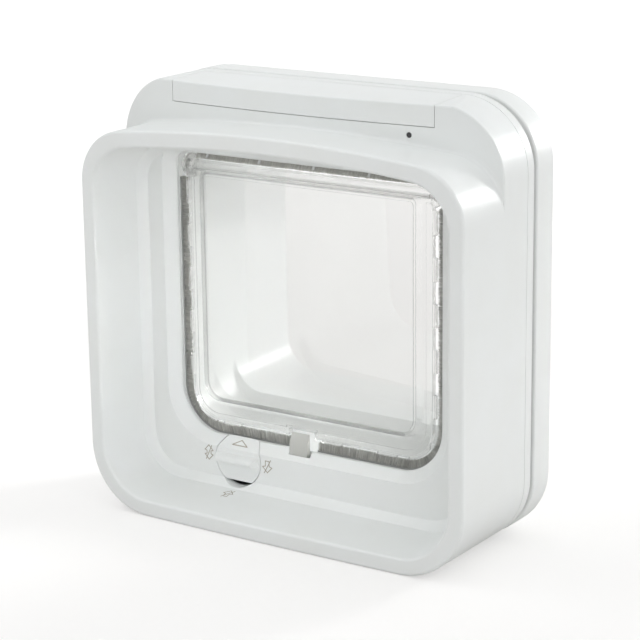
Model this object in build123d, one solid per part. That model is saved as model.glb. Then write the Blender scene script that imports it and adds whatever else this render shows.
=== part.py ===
from build123d import *
import math
import os

os.makedirs("parts", exist_ok=True)

# Cat flap with an electronic latch, made to be clamped through a door.
# Millimetres.  X across, Z up, the inside of the house on the -Y side.
# Y = 0 is the face of the inner unit that lies on the door.

# ---------------------------------------------------------------- dimensions
W2 = 105.0            # half width and half height of the unit (210 x 210)
R_BODY = 33.0         # corner radius of the unit seen from the front
WALL = 2.5            # moulding wall
Y_SEAM = -6.2         # parting line between front housing and back plate
FACE_Y = -35.3        # front face above the hood, at the middle
FACE_R = 702.5        # the front face is part of a large upright cylinder
TOP_DROP = 1.3        # the top falls towards the front over TOP_RUN
TOP_RUN = 27.0

RIM_Y = -63.8         # rim of the hood at the middle
RIM_R = 3107.0        # the rim is bowed slightly too
HOOD_TOP = 87.9       # top of the hood at the middle
HOOD_R = 707.0        # arch of the hood's top
HOOD_RT = 26.0        # hood top corners
COVE = 1.6            # hollow blend between the hood's top and the front face
CAV_Y = -62.0         # inside of the hood at the rim
CAV_W = 97.4
CAV_BOT = -96.9
CAV_TOP = 79.8
CAV_RB = 26.0
CAV_RT = 22.0
WALL_Y = -32.5        # wall behind the hood, round the flap
CAV_W_IN = 91.7       # inside of the hood at that wall
CAV_BOT_IN = -92.2
CAV_TOP_IN = 76.5
CAV_BAND = 3.7        # slanted band between the hood's inside and the wall
RIM_OUT_R = 1.4
RIM_IN_R = 1.4

AP_W, AP_BOT, AP_TOP = 72.2, -67.5, 69.4      # flap aperture at its lip
AP_RB, AP_RT = 22.0, 6.0
AP_Y = -26.0
AP_ROUND = 1.2                                # rounding of the lip's inner edge
BV_W, BV_BOT, BV_TOP = 79.2, -74.3, 70.8      # front edge of the lip's bevel
BV_RB, BV_RT = 25.0, 7.0
LIP_W, LIP_BOT, LIP_TOP = 81.8, -76.8, 74.0   # body of the lip behind the wall

TUN_W, TUN_BOT, TUN_TOP = 74.0, -69.5, 69.6   # near part of the tunnel, inside
TUN_RB, TUN_RT = 22.5, 6.0
TUN_SIDE, TUN_ROOF = 2.5, 1.6                 # tunnel walls
SILL_Z = -60.6                                # raised floor of the far part
SILL_R = 17.0
SILL_Y = 16.4                                 # where the floor steps up
TUN_END = 64.0

HINGE_Y, HINGE_Z = -21.5, 62.2                # flap axis
PIN_D = 4.0
BAR_D = 5.0
DISC_D = 10.6                                 # discs at the ends of the hinge bar
FLAP_W, FLAP_BOT, FLAP_TOP = 68.2, -63.0, 60.6
FLAP_R = 15.5
FLAP_Y = -26.0                                # front of the flap's rim
FLAP_T = 2.4
FLAP_EDGE = 3.6                               # width of the raised edge round the flap
TAB_OUT = 1.6                                 # tabs beyond the edge at the sides
TAB_DOWN = 1.2                                # and at the bottom
PANE_W, PANE_BOT, PANE_TOP = 60.4, -52.7, 60.0
PANE_R = 9.5
PANE_Y = -27.6                                # front of the pane
NOTCH_X0, NOTCH_X1, NOTCH_TOP = -11.6, 3.2, -59.8

DIAL_X, DIAL_Z, DIAL_R = -37.8, -78.7, 13.1
DIAL_HOLE_R = 13.45
DIAL_TOP_R = 35.0                             # gentle arc of the dial's upper edge

LATCH_X0, LATCH_X1 = -9.3, 0.7                # entry latch
LATCH_TIP = -61.0
EXIT_X0, EXIT_X1 = 36.0, 42.0                 # exit latch
EXIT_TIP = -68.5

COVER_W, COVER_BOT = 72.2, 93.7               # battery cover opening
GAP = 0.3

FRAME_Y0, FRAME_Y1 = 3.0, 19.8                # outer frame
FRAME_R = 32.0

CELL_D, CELL_L = 14.2, 50.0
CELL_Z = (79.8, 94.2)
CELL_Y = -17.15

SCREW_XZ = [(-83, -84), (83, -84), (-88, 0), (88, 0), (-84, 90), (84, 90)]
FIX_XZ = [(-90, -62), (90, -62), (-90, 62), (90, 62)]


# ------------------------------------------------------------------- helpers
def bx(x0, x1, y0, y1, z0, z1):
    return Pos((x0 + x1) / 2, (y0 + y1) / 2, (z0 + z1) / 2) * Box(x1 - x0, y1 - y0, z1 - z0)


def slab(sk, y0, y1):
    # sketch drawn in X and Z, made solid from Y = y0 to Y = y1
    return extrude(Plane.XZ.offset(-y1) * sk, amount=y1 - y0)


def outline(w, z0, z1, rb, rt):
    sk = Pos(0, (z0 + z1) / 2) * Rectangle(2 * w, z1 - z0)
    sk = fillet(sk.vertices().sort_by(Axis.Y)[:2], rb)
    return fillet(sk.vertices().sort_by(Axis.Y)[-2:], rt)


def arched(w, z0, ztop, rarch, rb, rt):
    # flat bottom, upright sides and an arched top
    zs = ztop - (rarch - math.sqrt(rarch * rarch - w * w))
    ln = (
        Line((-w, zs), (-w, z0))
        + Line((-w, z0), (w, z0))
        + Line((w, z0), (w, zs))
        + ThreePointArc((w, zs), (0, ztop), (-w, zs))
    )
    sk = make_face(ln)
    sk = fillet(sk.vertices().sort_by(Axis.Y)[:2], rb)
    top = sk.vertices().filter_by(lambda v: v.Y > zs - 1 and abs(abs(v.X) - w) < 0.01)
    return fillet(top, rt)


def ycyl(x, z, r, y0, y1):
    return Pos(x, (y0 + y1) / 2, z) * Rot(90, 0, 0) * Cylinder(r, y1 - y0)


def xcyl(y, z, r, x0, x1):
    return Pos((x0 + x1) / 2, y, z) * Rot(0, 90, 0) * Cylinder(r, x1 - x0)


def zcyl(x, y, r, z0, z1):
    return Pos(x, y, (z0 + z1) / 2) * Cylinder(r, z1 - z0)


def yz_prism(pts, x0, x1):
    # polygon given as (Y, Z) points, made solid from X = x0 to X = x1
    sk = make_face(Polyline(*pts, close=True))
    return extrude(Plane.YZ.offset(x0) * sk, amount=x1 - x0)


def one(shape):
    s = shape.solids()
    return s[0] if len(s) == 1 else Compound(children=list(s))


def save(shape, name):
    export_step(one(shape), "parts/%s.step" % name)


def hood_outline(d):
    return arched(W2 - d, -W2 + d, HOOD_TOP - d, HOOD_R, R_BODY - d, HOOD_RT - d)


def cav_section(y, e=0.0):
    # inside of the hood at depth y, grown by e
    t = (y - CAV_Y) / (WALL_Y - CAV_Y)
    return Plane.XZ.offset(-y) * arched(
        CAV_W + (CAV_W_IN - CAV_W) * t + e, CAV_BOT + (CAV_BOT_IN - CAV_BOT) * t - e,
        CAV_TOP + (CAV_TOP_IN - CAV_TOP) * t + e, HOOD_R, CAV_RB - 5.0 * t + e, CAV_RT - 4.0 * t + e
    )


def body_outline(d):
    return outline(W2 - d, -W2 + d, W2 - d, R_BODY - d, R_BODY - d)


def face_cyl(d):
    return Pos(0, FACE_Y + FACE_R, 0) * Cylinder(FACE_R - d, 300)


def top_cut(d):
    a = math.degrees(math.atan2(TOP_DROP, TOP_RUN))
    return Pos(0, Y_SEAM, W2 - d) * Rot(a, 0, 0) * Box(
        300, 120, 30, align=(Align.CENTER, Align.MAX, Align.MIN)
    )


# ------------------------------------------------------------- front housing
block = slab(body_outline(0), -45, Y_SEAM) & face_cyl(0)
block = block - top_cut(0)
face_edge = block.faces().filter_by(GeomType.CYLINDER).sort_by(Axis.Y)[0].outer_wire().edges()
block = fillet(face_edge, 0.8)
hood = slab(hood_outline(0), -70, -14) & (Pos(0, RIM_Y + RIM_R, 0) * Cylinder(RIM_R, 300))
outer = block + hood
# hollow blend where the hood's top meets the front face
wide = bx(-150, 150, -45, -10, -60, 140) & face_cyl(0)
arch = slab(arched(W2, -160, HOOD_TOP, HOOD_R, 5, HOOD_RT), -70, -14)
arch = wide + (arch & (Pos(0, RIM_Y + RIM_R, 0) * Cylinder(RIM_R, 400)))


def on_face(e):
    for t in (0.1, 0.5, 0.9):
        p = e.position_at(t)
        if abs(math.hypot(p.X, p.Y - FACE_Y - FACE_R) - FACE_R) > 0.02 or abs(p.X) > W2 + 0.01:
            return False
    return True


arch = fillet(arch.edges().filter_by(on_face), COVE)
arch = arch & slab(arched(W2 + COVE, -170, HOOD_TOP + COVE, HOOD_R, 5, HOOD_RT + COVE), -60, -22)
outer = outer + (arch & slab(body_outline(0.5), -60, -20) & bx(-150, 150, -60, -20, 50, 120))

cavity = loft([cav_section(-72), cav_section(WALL_Y)], ruled=True)
cavity = chamfer(cavity.faces().sort_by(Axis.Y)[-1].edges(), CAV_BAND)
housing = outer - cavity
rim = housing.faces().sort_by(Axis.Y)[0]
housing = fillet(rim.inner_wires()[0].edges(), RIM_IN_R)
rim = housing.faces().sort_by(Axis.Y)[0]
housing = fillet(rim.outer_wire().edges(), RIM_OUT_R)

# bevelled aperture for the flap
bevel = loft(
    [
        Plane.XZ.offset(-WALL_Y + 2) * outline(BV_W + 2.2, BV_BOT - 1.5, BV_TOP + 0.4, BV_RB + 2.2, BV_RT),
        Plane.XZ.offset(-AP_Y) * outline(AP_W, AP_BOT, AP_TOP, AP_RB, AP_RT),
    ],
    ruled=True,
)
ap_hole = slab(outline(AP_W, AP_BOT, AP_TOP, AP_RB, AP_RT), AP_Y - 1, 0)

# hollow inside, open to the back
void_hood = slab(hood_outline(WALL), -60.0, Y_SEAM + 1) - loft([cav_section(-80, WALL), cav_section(WALL_Y + WALL, WALL)], ruled=True)
void_hood = void_hood - slab(outline(LIP_W, LIP_BOT, LIP_TOP, 27, 9), -40, AP_Y)
void_top = (slab(body_outline(WALL), -45, Y_SEAM + 1) & face_cyl(WALL)) - top_cut(WALL)
void_top = void_top & bx(-120, 120, -60, 10, 79.9, 120)
housing = housing - void_hood - void_top
housing = housing - bevel - ap_hole
lip_edge = housing.edges().filter_by(
    lambda e: abs(e.center().Y - AP_Y) < 0.02 and abs(e.position_at(0.1).Y - AP_Y) < 0.02 and abs(e.center().X) < AP_W + 0.1
    and AP_BOT - 0.1 < e.center().Z < AP_TOP + 0.1
)
housing = fillet(lip_edge, AP_ROUND)

# guides for the entry latch, screw posts
housing = housing + bx(LATCH_X0 - 2.0, LATCH_X0 - 0.4, WALL_Y + 1, -26.9, -103.5, -76)
housing = housing + bx(LATCH_X1 + 0.4, LATCH_X1 + 2.0, WALL_Y + 1, -26.9, -103.5, -76)
for x, z in SCREW_XZ:
    y0 = -29.0 if z > 80 else -31.0
    housing = housing + ycyl(x, z, 3.6, y0, Y_SEAM)
    housing = housing - ycyl(x, z, 1.3, -20.0, Y_SEAM + 1)

# battery opening, dial pocket, latch slot, lamp hole
housing = housing - bx(-COVER_W, COVER_W, -60, Y_SEAM - 1.2, COVER_BOT, 120)
housing = housing - ycyl(DIAL_X, DIAL_Z, DIAL_HOLE_R, -46, AP_Y + 1)
housing = housing - bx(LATCH_X0 - 0.4, LATCH_X1 + 1.8, -30.2, AP_Y + 1, -75.6, -60)
housing = housing - bx(LATCH_X0 - 0.4, LATCH_X1 + 0.4, -30.2, AP_Y + 1, -78.0, -70)
housing = housing - ycyl(59.7, 89.6, 1.35, -45, -20)
save(housing, "front_housing")

# -------------------------------------------------------------- battery cover
cover = outer - void_hood - void_top
cover = cover & bx(-COVER_W + GAP, COVER_W - GAP, -60, Y_SEAM - 1.2 - GAP, COVER_BOT + GAP, 120)
cover = cover.solids().sort_by(SortBy.VOLUME)[-1]
for x in (-52, 52):
    yi = FACE_Y + (FACE_R - math.sqrt(FACE_R**2 - x * x)) + WALL
    cover = cover + bx(x - 5, x + 5, yi - 0.9, yi + 2.0, 96.0, 98.0)
    cover = cover + bx(x - 5, x + 5, yi + 0.6, yi + 2.0, 91.5, 98.0)
save(cover, "battery_cover")

# ----------------------------------------------------------------- back plate
plate = slab(body_outline(0), Y_SEAM, 0)
plate = plate - slab(body_outline(3.0), Y_SEAM - 1, -WALL)
# fine step along the parting line
plate = plate - (
    slab(outline(W2 + 1, -W2 - 1, W2 + 1, R_BODY + 1, R_BODY + 1), Y_SEAM - 1, Y_SEAM + 0.4)
    - slab(body_outline(0.4), Y_SEAM - 2, Y_SEAM + 1)
)
for x, z in SCREW_XZ:
    plate = plate + ycyl(x, z, 4.4, Y_SEAM, -1)
for x, z in FIX_XZ:
    plate = plate + ycyl(x, z, 5.0, -10.0, -1)
plate = plate + bx(8, 24, -16.05, -1, -95, -85)
plate = plate + bx(54, 68, -8.25, -1, -91, -81)
for x, z in ((83.5, 16), (98.0, 56)):
    plate = plate + ycyl(x, z, 2.8, -13.35, -1)
    plate = plate - ycyl(x, z, 0.95, -14, -6)
tun_gap = outline(
    TUN_W + TUN_SIDE + 0.15, TUN_BOT - TUN_SIDE - 0.15, TUN_TOP + TUN_ROOF + 0.15, 21.1, 7.7
)
plate = plate - slab(tun_gap, -20, 5)
for x, z in SCREW_XZ:
    plate = plate - ycyl(x, z, 1.65, -10, 5) - ycyl(x, z, 3.1, -2.9, 5)
for x, z in FIX_XZ:
    plate = plate - ycyl(x, z, 2.9, -9.0, -0.8) - ycyl(x, z, 2.3, -9.0, 5)
plate = fillet(plate.faces().filter_by(Axis.Y).sort_by(Axis.Y)[-1].outer_wire().edges(), 0.5)
save(plate, "back_plate")

# --------------------------------------------------------------------- tunnel
near_out = outline(TUN_W + TUN_SIDE, TUN_BOT - TUN_SIDE, TUN_TOP + TUN_ROOF, TUN_RB + 2.5, TUN_RT + 1.6)
near_in = outline(TUN_W, TUN_BOT, TUN_TOP, TUN_RB, TUN_RT)
far_out = outline(TUN_W + TUN_SIDE, SILL_Z - TUN_SIDE, TUN_TOP + TUN_ROOF, SILL_R + 2.5, TUN_RT + 1.6)
far_in = outline(TUN_W, SILL_Z, TUN_TOP, SILL_R, TUN_RT)
tunnel = slab(near_out, AP_Y + 0.1, SILL_Y + 2.4) + slab(far_out, SILL_Y, TUN_END)
tunnel = tunnel + slab(
    outline(TUN_W + 4.6, TUN_BOT - 4.6, TUN_TOP + 3.4, 22.5, 8.8), -8.3, -6.4
)
tunnel = tunnel - slab(far_in, AP_Y - 5, TUN_END + 5)
tunnel = tunnel - loft(
    [
        Plane.XZ.offset(-AP_Y + 1) * near_in,
        Plane.XZ.offset(-(SILL_Y - 2.2)) * near_in,
    ],
    ruled=True,
)
tunnel = tunnel - loft(
    [
        Plane.XZ.offset(-(SILL_Y - 2.2)) * near_in,
        Plane.XZ.offset(-(SILL_Y + 0.2)) * far_in,
    ],
    ruled=True,
)
end_in = tunnel.faces().filter_by(Axis.Y).sort_by(Axis.Y)[-1]
tunnel = fillet(end_in.inner_wires()[0].edges(), 0.7)
end_out = tunnel.faces().filter_by(Axis.Y).sort_by(Axis.Y)[-1]
tunnel = fillet(end_out.outer_wire().edges(), 0.6)
for x in (EXIT_X0 - 2.0, EXIT_X1 + 0.4):
    tunnel = tunnel + bx(x, x + 1.6, -22.7, -18.9, -79, -71.5)
tunnel = tunnel - xcyl(HINGE_Y, HINGE_Z, PIN_D / 2 + 0.06, -90, 90)
tunnel = tunnel - bx(EXIT_X0 - 0.4, EXIT_X1 + 0.4, -22.6, -19.0, -75, -65)
save(tunnel, "tunnel")

# ---------------------------------------------------------------- outer frame
frame = slab(outline(W2, -W2, W2, FRAME_R, FRAME_R), FRAME_Y0, FRAME_Y1)
frame = fillet(frame.faces().filter_by(Axis.Y).sort_by(Axis.Y)[-1].outer_wire().edges(), 3.0)
frame = fillet(frame.faces().filter_by(Axis.Y).sort_by(Axis.Y)[0].outer_wire().edges(), 1.0)
collar = outline(TUN_W + 6.0, TUN_BOT - 6.0, TUN_TOP + 5.2, 24.5, 10)
frame = frame - (slab(outline(W2 - 3, -W2 + 3, W2 - 3, FRAME_R - 3, FRAME_R - 3), 0, FRAME_Y1 - WALL) - slab(collar, -1, 40))
hole = outline(TUN_W + 3.3, TUN_BOT - 3.3, TUN_TOP + 2.4, 21.8, 8.4)
frame = frame - slab(hole, -1, 40)
for x, z in FIX_XZ:
    frame = frame + ycyl(x, z, 7.0, FRAME_Y0, FRAME_Y1 - 1)
for x, z in FIX_XZ:
    frame = frame - ycyl(x, z, 2.3, 0, 40) - ycyl(x, z, 4.6, 15.0, 40)
hole_edges = frame.faces().filter_by(Axis.Y).sort_by(Axis.Y)[-1].inner_wires().sort_by(SortBy.LENGTH)[-1].edges()
frame = fillet(hole_edges, 0.8)
save(frame, "outer_frame")

# ----------------------------------------------------------------------- flap
rimp = slab(outline(FLAP_W, FLAP_BOT, FLAP_TOP, FLAP_R, 2.0), FLAP_Y, FLAP_Y + FLAP_T)
dish_o = loft(
    [
        Plane.XZ.offset(-(FLAP_Y + FLAP_T)) * outline(PANE_W + 4.4, PANE_BOT - 4.6, PANE_TOP + 1.0, PANE_R + 4, 3.0),
        Plane.XZ.offset(-PANE_Y) * outline(PANE_W, PANE_BOT, PANE_TOP, PANE_R, 2.4),
    ],
    ruled=True,
)
dish_i = loft(
    [
        Plane.XZ.offset(-(FLAP_Y + FLAP_T + 1)) * outline(PANE_W + 3.0, PANE_BOT - 3.2, PANE_TOP + 0.2, PANE_R + 2.8, 2.6),
        Plane.XZ.offset(-(PANE_Y + 2.2)) * outline(PANE_W - 1.4, PANE_BOT + 1.4, PANE_TOP - 0.9, PANE_R - 1, 2.0),
    ],
    ruled=True,
)
flap = rimp + dish_o - dish_i
# fine double line round the pane
flap = flap + (
    slab(outline(PANE_W - 0.2, PANE_BOT + 0.2, PANE_TOP - 0.2, PANE_R - 0.2, 2.2), PANE_Y - 0.6, PANE_Y + 0.5)
    - slab(outline(PANE_W - 1.5, PANE_BOT + 1.5, PANE_TOP - 1.5, PANE_R - 1.5, 1.6), PANE_Y - 2, PANE_Y + 2)
)
# raised edge of the rim
edge = slab(outline(FLAP_W, FLAP_BOT, FLAP_TOP - 2.0, FLAP_R, 2.0), FLAP_Y - 0.9, FLAP_Y + 0.5) - slab(
    outline(FLAP_W - FLAP_EDGE, FLAP_BOT + FLAP_EDGE, FLAP_TOP + 9, FLAP_R - FLAP_EDGE, 2.0), FLAP_Y - 3, FLAP_Y + 3
)
edge = fillet(edge.faces().filter_by(Axis.Y).sort_by(Axis.Y)[0].edges(), 0.8)
flap = flap + edge
# small tabs round the edge
for k in range(5):
    z = 49.5 - 21.5 * k
    for e in (-1, 1):
        x = e * (FLAP_W + (TAB_OUT - 1.0) / 2)
        flap = flap + bx(x - (TAB_OUT + 1.0) / 2, x + (TAB_OUT + 1.0) / 2, FLAP_Y, FLAP_Y + 1.6, z - 5.6, z + 5.6)
for x0 in (-51.0, 7.0, 37.8):
    flap = flap + bx(x0, x0 + 10.6, FLAP_Y, FLAP_Y + 1.6, FLAP_BOT - TAB_DOWN, FLAP_BOT + 1)
# curved tabs at the lower corners
ring = slab(outline(FLAP_W + 1.2, FLAP_BOT - TAB_DOWN, 70, FLAP_R + 1.2, 2.0), FLAP_Y, FLAP_Y + 1.6)
ring = ring - slab(outline(FLAP_W - 1.0, FLAP_BOT + 1.0, 80, FLAP_R - 1.0, 2.0), FLAP_Y - 1, FLAP_Y + 3)
for e in (-1, 1):
    x0, x1 = sorted((e * 55.0, e * 66.2))
    flap = flap + (ring & bx(x0, x1, -40, 0, -80, -48.6))
# notch for the latch, with a thin lip round it
flap = flap + bx(NOTCH_X0 - 1.4, NOTCH_X1 + 1.4, FLAP_Y - 0.9, FLAP_Y + 1, FLAP_BOT, NOTCH_TOP + 1.4)
flap = flap - bx(NOTCH_X0, NOTCH_X1, FLAP_Y - 5, FLAP_Y + 8, FLAP_BOT - 5, NOTCH_TOP)
# hinge bar with its web, end discs and pins
flap = flap + bx(-66.5, 66.5, FLAP_Y + FLAP_T - 1.0, HINGE_Y + 0.4, HINGE_Z - 2.4, HINGE_Z - 0.3)
flap = flap + xcyl(HINGE_Y, HINGE_Z, BAR_D / 2, -73.4, 73.4)
for e in (-1, 1):
    flap = flap + xcyl(HINGE_Y, HINGE_Z, DISC_D / 2, *sorted((e * 69.0, e * 71.4)))
    flap = flap + bx(*sorted((e * 66.0, e * 69.8)), FLAP_Y, HINGE_Y, FLAP_TOP - 4.0, HINGE_Z)
flap = flap + xcyl(HINGE_Y, HINGE_Z, PIN_D / 2, -76.2, 76.2)
save(flap, "flap_panel")

# ------------------------------------------------------------ draught brushes
brush = slab(outline(TUN_W - 0.1, TUN_BOT + 0.1, 80, TUN_RB - 0.1, 6.0), -25.4, -22.5) - slab(
    outline(FLAP_W + TAB_OUT + 0.35, FLAP_BOT - TAB_DOWN - 0.4, 90, FLAP_R + 1.7, 2.0), -40, 0
)
brush = brush & bx(-90, 90, -40, 0, -90, 56)
brush = brush - bx(NOTCH_X0 - 0.2, NOTCH_X1 + 0.6, -40, 0, -90, -60)
save(brush, "draught_brush")

top_brush = yz_prism([(-24.0, 65.4), (-20.4, 65.4), (-18.6, 68.5), (-22.0, 68.5)], -66, 66)
save(top_brush, "top_brush")
rail = bx(-67, 67, -24.5, -18.4, 68.55, 69.3)
for x in (-58.8, -28.4, 2.2, 32.8, 63.0):
    rail = rail + yz_prism([(-24.0, 66.5), (-23.45, 66.5), (-22.15, 68.62), (-22.75, 68.62)], x - 0.6, x + 0.6)
save(rail, "top_brush_rail")

# ------------------------------------------------------------ latches, drives
MODULE = 1.0
TEETH = 10
R_PITCH = MODULE * TEETH / 2
PITCH = math.pi * MODULE


def rack(y_root, z_c, z0, z1, x0, x1):
    # straight teeth pointing +Y; a gap lies at height z_c
    out = None
    k0 = math.ceil((z0 - z_c) / PITCH - 0.5)
    k1 = math.floor((z1 - z_c) / PITCH - 0.5)
    for k in range(k0, k1 + 1):
        z = z_c + (k + 0.5) * PITCH
        t = yz_prism(
            [(y_root - 0.5, z - 0.85), (y_root, z - 0.85), (y_root + 1.9, z - 0.3),
             (y_root + 1.9, z + 0.3), (y_root, z + 0.85), (y_root - 0.5, z + 0.85)], x0, x1)
        out = t if out is None else out + t
    return out


def pinion(y_c, z_c, x0, x1):
    # one tooth points -Y, into the rack
    g = xcyl(y_c, z_c, 3.7, x0, x1)
    for k in range(TEETH):
        a = math.pi + 2 * math.pi * k / TEETH

        def pt(rad, tan):
            return (y_c + rad * math.cos(a) - tan * math.sin(a), z_c + rad * math.sin(a) + tan * math.cos(a))

        g = g + yz_prism([pt(3.2, -0.72), pt(5.0, -0.5), pt(5.8, -0.25), pt(5.8, 0.25), pt(5.0, 0.5), pt(3.2, 0.72)], x0, x1)
    return g


EN_Y0, EN_Y1 = -29.8, -27.2
EN_PY, EN_PZ = EN_Y1 + 1.1 + R_PITCH, -90.0
entry = bx(LATCH_X0, LATCH_X1, EN_Y0, EN_Y1, -98.5, LATCH_TIP)
# the head's front curves back towards its tip
head = make_face(
    Line((EN_Y0, -70.0), (EN_Y0, -50.0))
    + Line((EN_Y0, -50.0), (EN_Y1, -50.0))
    + Line((EN_Y1, -50.0), (EN_Y1, LATCH_TIP))
    + ThreePointArc((EN_Y1, LATCH_TIP), (EN_Y0 + 0.78, -64.6), (EN_Y0, -70.0))
)
entry = entry - extrude(Plane.YZ.offset(LATCH_X0 - 1) * head, amount=LATCH_X1 - LATCH_X0 + 2)
entry = entry + rack(EN_Y1, EN_PZ, -98.0, -82.5, -7.1, -1.1)
save(entry, "entry_latch")
ep = pinion(EN_PY, EN_PZ, -6.1, -2.1) + xcyl(EN_PY, EN_PZ, 1.5, -7.1, 4.9)
save(ep, "entry_pinion")
em = bx(-0.1, 8.9, EN_PY - 5, EN_PY + 5, EN_PZ - 6, EN_PZ + 6)
em = em + (xcyl(EN_PY, EN_PZ, 6.0, 8.9, 24.9) & bx(0, 40, EN_PY - 5, EN_PY + 5, EN_PZ - 10, EN_PZ + 10))
em = em + xcyl(EN_PY, EN_PZ, 2.4, 24.9, 26.5)
em = em - xcyl(EN_PY, EN_PZ, 1.55, -2.0, 5.3)
save(em, "entry_motor")

EX_Y0, EX_Y1 = -22.2, -19.4
EX_PY, EX_PZ = EX_Y1 + 1.1 + R_PITCH, -86.0
exitl = bx(EXIT_X0, EXIT_X1, EX_Y0, EX_Y1, -97.5, EXIT_TIP)
exitl = fillet(exitl.edges().filter_by(Axis.X).sort_by(Axis.Z)[-2:], 1.0)
exitl = exitl + rack(EX_Y1, EX_PZ, -97.0, -81.5, 36.8, 41.2)
save(exitl, "exit_latch")
xp = pinion(EX_PY, EX_PZ, 37.2, 40.8) + xcyl(EX_PY, EX_PZ, 1.5, 36.2, 48.0)
save(xp, "exit_pinion")
xm = bx(43.4, 52.4, EX_PY - 5, EX_PY + 5, EX_PZ - 6, EX_PZ + 6)
xm = xm + (xcyl(EX_PY, EX_PZ, 6.0, 52.4, 68.4) & bx(40, 90, EX_PY - 5, EX_PY + 5, EX_PZ - 10, EX_PZ + 10))
xm = xm + xcyl(EX_PY, EX_PZ, 2.4, 68.4, 70.0)
xm = xm - xcyl(EX_PY, EX_PZ, 1.55, 43.0, 48.4)
save(xm, "exit_motor")

# ------------------------------------------------------------------ lock dial
dial = ycyl(DIAL_X, DIAL_Z, DIAL_R, WALL_Y, -27.2)
dial = dial - bevel
dial = dial - bx(DIAL_X - 20, DIAL_X + 20, -40, -20, DIAL_Z - 20, DIAL_Z - 10.7)
dial = dial & ycyl(DIAL_X, DIAL_Z + 10.7 - DIAL_TOP_R, DIAL_TOP_R, -50, -20)
# grip: a low rounded bar across the dial, slanted off at its free end
ridge = [(1.0, 2.3), (0.0, 2.3), (-1.1, 1.7), (-2.3, 1.1), (-3.2, 0.3), (-3.6, -0.6), (-3.4, -1.5), (-2.6, -2.1), (0.0, -2.4), (1.0, -2.4)]
grip = yz_prism([(WALL_Y + y, DIAL_Z + z) for y, z in ridge], DIAL_X - 12.4, DIAL_X + 11.4)
plan = [(-12.4, 1.5), (11.4, 1.5), (11.4, -0.2), (9.1, -4.0), (-11.3, -4.0), (-12.4, -2.2)]
plan = make_face(Polyline(*[(DIAL_X + x, WALL_Y + y) for x, y in plan], close=True))
grip = grip & extrude(Plane.XY.offset(DIAL_Z - 6) * plan, amount=12)
grip = grip & ycyl(DIAL_X, DIAL_Z, 12.5, -50, -20)
dial = dial + grip
dial = dial + ycyl(DIAL_X, DIAL_Z, 4.0, -28, -20.6)
save(dial, "lock_dial")
cam = ycyl(DIAL_X, DIAL_Z, 6.5, -23.4, -20.6)
for a in (0, 90, 180, 270):
    cam = cam - (Pos(DIAL_X, -22, DIAL_Z) * Rot(0, a, 0) * Pos(0, 0, 6.6) * Rot(90, 0, 0) * Cylinder(1.2, 10))
cam = cam - ycyl(DIAL_X, DIAL_Z, 4.02, -30, -10)
save(cam, "dial_cam")
carrier = bx(DIAL_X - 18.5, DIAL_X + 18.5, -25.9, -23.9, -89.6, -73)
carrier = carrier + bx(DIAL_X - 18.5, DIAL_X - 15, -29.95, -24, -88, -78)
carrier = carrier + bx(DIAL_X + 15, DIAL_X + 18.5, -29.95, -24, -88, -78)
carrier = carrier - ycyl(DIAL_X, DIAL_Z, 4.06, -40, -10)
save(carrier, "dial_carrier")
DET = 7.55            # height of the detent bump below the dial's axis
spring = bx(DIAL_X - 12, DIAL_X + 12, -23.4, -20.6, DIAL_Z - DET - 0.8, DIAL_Z - DET - 0.3)
spring = spring + (ycyl(DIAL_X, DIAL_Z - DET, 0.9, -23.4, -20.6) & bx(-60, 0, -30, -10, DIAL_Z - DET - 0.8, DIAL_Z - DET + 2))
for x in (DIAL_X - 12, DIAL_X + 11.5):
    spring = spring + bx(x, x + 0.5, -23.85, -20.6, DIAL_Z - DET - 0.8, DIAL_Z - 2.5)
save(spring, "detent_spring")

# ------------------------------------------------- batteries and electronics
tray = bx(-60.5, 60.5, -25.7, -8.6, 71.4, 92.0) - bx(-59.3, 59.3, -24.5, -9.8, 72.5, 120)
tray = tray + bx(-0.6, 0.6, -24.6, -9.7, 72.0, 92.0)
tray = tray + bx(60.0, 71.0, -22.0, -11.5, 90.0, 91.6)
save(tray, "battery_tray")

cells = []
pos_c = []
neg_c = []
for i, z in enumerate(CELL_Z):
    for s in (-1, 1):
        d = s if i == 0 else -s
        x_mid = s * 30.6 - d * 0.6
        x0 = x_mid - CELL_L / 2
        body = xcyl(CELL_Y, z, CELL_D / 2, x0 + (0 if d > 0 else 1.2), x0 + CELL_L - (1.2 if d > 0 else 0))
        cap = xcyl(CELL_Y, z, 2.7, x0 + (40 if d > 0 else 0), x0 + CELL_L - (0 if d > 0 else 40))
        cells.append(one(body + cap))
        # positive plate against the cap, negative leaf spring at the other end
        xp_in = x0 + CELL_L if d > 0 else x0
        pos_c.append(one(bx(min(xp_in + d * 0.05, xp_in + d * 0.55), max(xp_in + d * 0.05, xp_in + d * 0.55), CELL_Y - 5, CELL_Y + 5, z - 5.5, z + 5.5)))
        xn = x0 - 0.05 if d > 0 else x0 + CELL_L + 0.05
        leaf = bx(min(xn, xn - d * 0.4), max(xn, xn - d * 0.4), CELL_Y - 3, CELL_Y + 3, z - 4.5, z + 3)
        leaf = leaf + bx(min(xn, xn - d * 2.2), max(xn, xn - d * 2.2), CELL_Y - 3, CELL_Y + 3, z - 4.5, z - 4.1)
        leaf = leaf + bx(min(xn - d * 1.8, xn - d * 2.2), max(xn - d * 1.8, xn - d * 2.2), CELL_Y - 3, CELL_Y + 3, z - 4.5, z + 5)
        neg_c.append(one(leaf))
save(Compound(children=cells), "aa_cells")
save(Compound(children=pos_c), "battery_plates")
save(Compound(children=neg_c), "battery_springs")

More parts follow.
